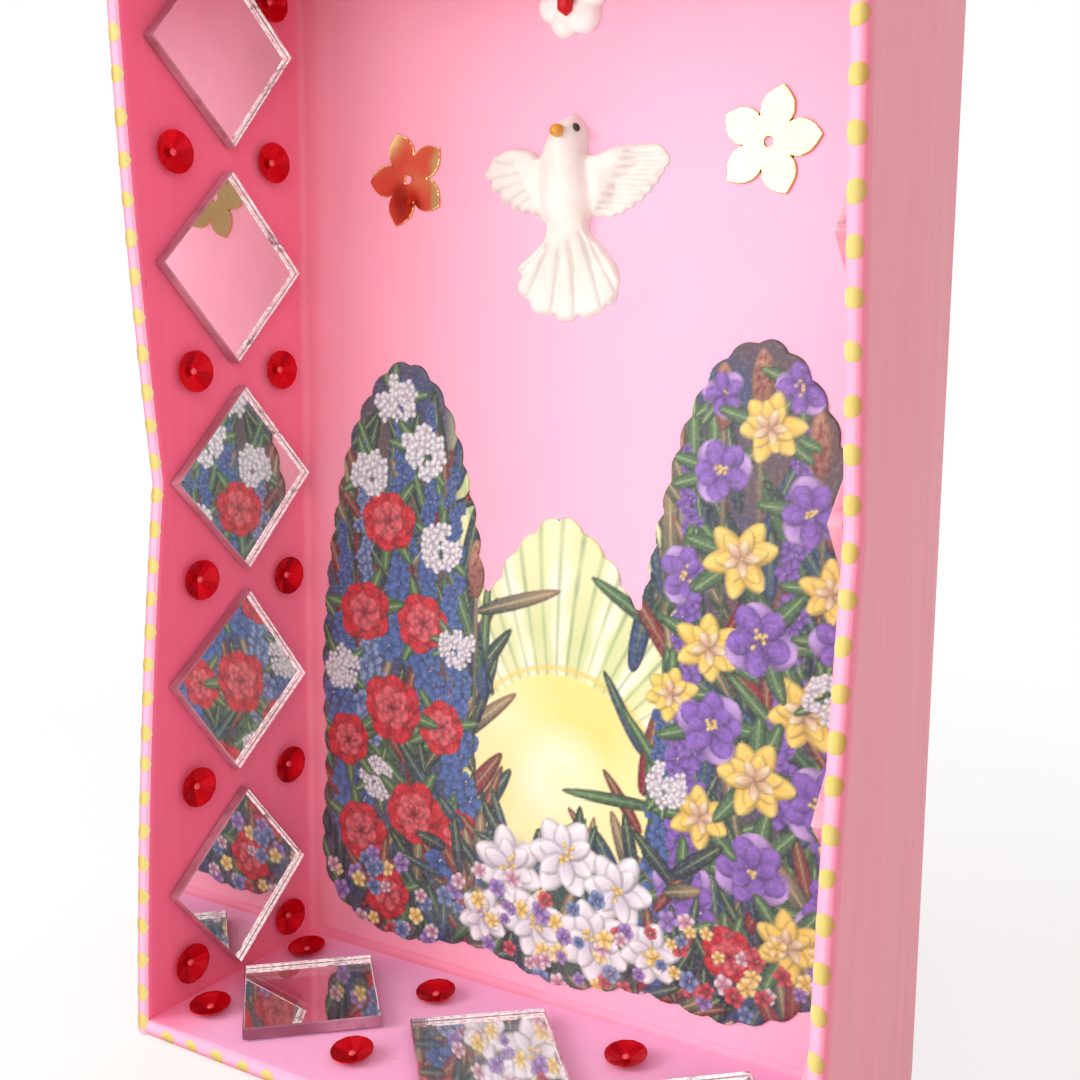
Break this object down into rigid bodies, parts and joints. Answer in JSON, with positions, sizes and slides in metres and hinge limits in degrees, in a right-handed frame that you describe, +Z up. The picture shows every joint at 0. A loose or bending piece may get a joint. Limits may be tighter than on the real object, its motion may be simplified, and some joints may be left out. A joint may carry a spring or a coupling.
{
  "type": "shadow box reliquary",
  "caption": "Open-fronted painted box shrine with a pinched waist, lined with mirror tiles and cup sequins, holding a cast dove, small flowers and a pasted paper cut-out.",
  "frame": {"origin": "centre of the box's footprint, on its underside", "axes": "+Z up, +Y towards the back panel, the open front faces -Y, +X right as seen from the front"},
  "size_m": [0.172, 0.065, 0.269],
  "materials": {
    "painted_side": "brushed pink paint, satin",
    "painted_top": "brushed pink paint, satin",
    "painted_floor": "brushed pink paint, satin",
    "painted_panel": "pale pink paint, satin",
    "mirror_glass": "cut mirror glass, silvered back",
    "sequin_red": "glossy foil plastic",
    "white_resin": "cast resin, white paint",
    "gold_foil": "gold mirror foil on plastic",
    "red_bead": "glossy, faceted",
    "printed_paper": "printed paper, varnished"
  },
  "bodies": {
    "root": {"left_side_board": "painted_side", "right_side_board": "painted_side", "top_board": "painted_top", "floor_board": "painted_floor", "back_panel": "painted_panel", "mirror_left_1": "mirror_glass", "mirror_left_2": "mirror_glass", "mirror_left_3": "mirror_glass", "mirror_left_4": "mirror_glass", "mirror_left_5": "mirror_glass", "mirror_right_1": "mirror_glass", "mirror_right_2": "mirror_glass", "mirror_right_3": "mirror_glass", "mirror_right_4": "mirror_glass", "mirror_right_5": "mirror_glass", "mirror_floor_1": "mirror_glass", "mirror_floor_2": "mirror_glass", "mirror_floor_3": "mirror_glass", "mirror_top_1": "mirror_glass", "mirror_top_2": "mirror_glass", "mirror_top_3": "mirror_glass", "sequin_left_rear_1": "sequin_red", "sequin_left_rear_2": "sequin_red", "sequin_left_rear_3": "sequin_red", "sequin_left_rear_4": "sequin_red", "sequin_left_rear_5": "sequin_red", "sequin_left_rear_6": "sequin_red", "sequin_left_front_1": "sequin_red", "sequin_left_front_2": "sequin_red", "sequin_left_front_3": "sequin_red", "sequin_left_front_4": "sequin_red", "sequin_left_front_5": "sequin_red", "sequin_left_front_6": "sequin_red", "sequin_right_rear_1": "sequin_red", "sequin_right_rear_2": "sequin_red", "sequin_right_rear_3": "sequin_red", "sequin_right_rear_4": "sequin_red", "sequin_right_rear_5": "sequin_red", "sequin_right_rear_6": "sequin_red", "sequin_right_front_1": "sequin_red", "sequin_right_front_2": "sequin_red", "sequin_right_front_3": "sequin_red", "sequin_right_front_4": "sequin_red", "sequin_right_front_5": "sequin_red", "sequin_right_front_6": "sequin_red", "sequin_floor_rear_1": "sequin_red", "sequin_floor_rear_2": "sequin_red", "sequin_floor_rear_3": "sequin_red", "sequin_floor_rear_4": "sequin_red", "sequin_floor_front_1": "sequin_red", "sequin_floor_front_2": "sequin_red", "sequin_floor_front_3": "sequin_red", "sequin_floor_front_4": "sequin_red", "dove": "white_resin", "foil_flower_left": "gold_foil", "foil_flower_right": "gold_foil", "white_flower": "white_resin", "flower_bead": "red_bead", "paper_print": "printed_paper"}
  },
  "joints": []
}
